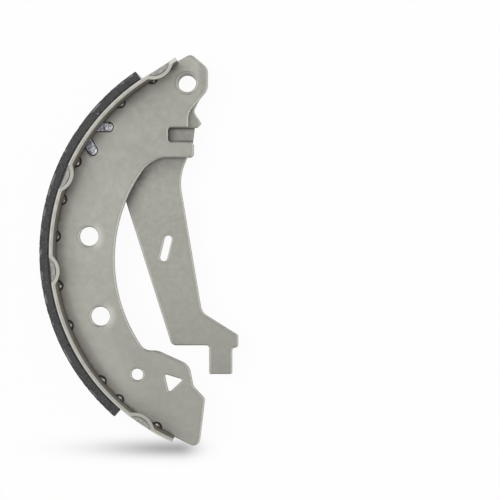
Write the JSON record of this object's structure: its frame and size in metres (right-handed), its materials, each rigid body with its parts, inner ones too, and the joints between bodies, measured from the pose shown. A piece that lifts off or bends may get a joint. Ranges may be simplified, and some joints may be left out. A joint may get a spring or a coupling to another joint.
{
  "type": "brake shoe",
  "caption": "Curved drum brake shoe: bonded lining on a rolled rim, welded web with holes and strut slot, and a swinging parking lever.",
  "frame": {"origin": "middle of the shoe's outline, at the height of the rim's back edge that it lies on", "axes": "+Z along the drum's axis towards the web's front, +Y from the anchor end to the cylinder end, -X towards the drum"},
  "size_m": [0.0924, 0.1844, 0.038],
  "materials": {
    "painted_steel": "satin grey-beige paint over pressed steel",
    "lever_steel": "satin grey-beige paint, a little darker",
    "friction_block": "matt dark grey friction compound with pale flecks",
    "bond": "black adhesive",
    "zinc_plate": "bright bluish zinc plate",
    "weld": "dark weld nuggets with thin paint"
  },
  "bodies": {
    "shoe": {"web": "painted_steel", "rim": "painted_steel", "lining": "friction_block", "adhesive_film": "bond", "pivot_bush": "painted_steel", "spring_washer": "lever_steel", "upper_tab": "zinc_plate", "lower_tab": "zinc_plate", "front_welds": "weld", "back_welds": "weld"},
    "lever": {"parking_lever": "lever_steel"}
  },
  "joints": [
    {"name": "lever_pivot", "type": "hinge", "parent": "shoe", "child": "lever", "pos_m": [0.02202, 0.07905, 0.01455], "axis": [0, 0, 1], "range_deg": [-8, 24]}
  ]
}
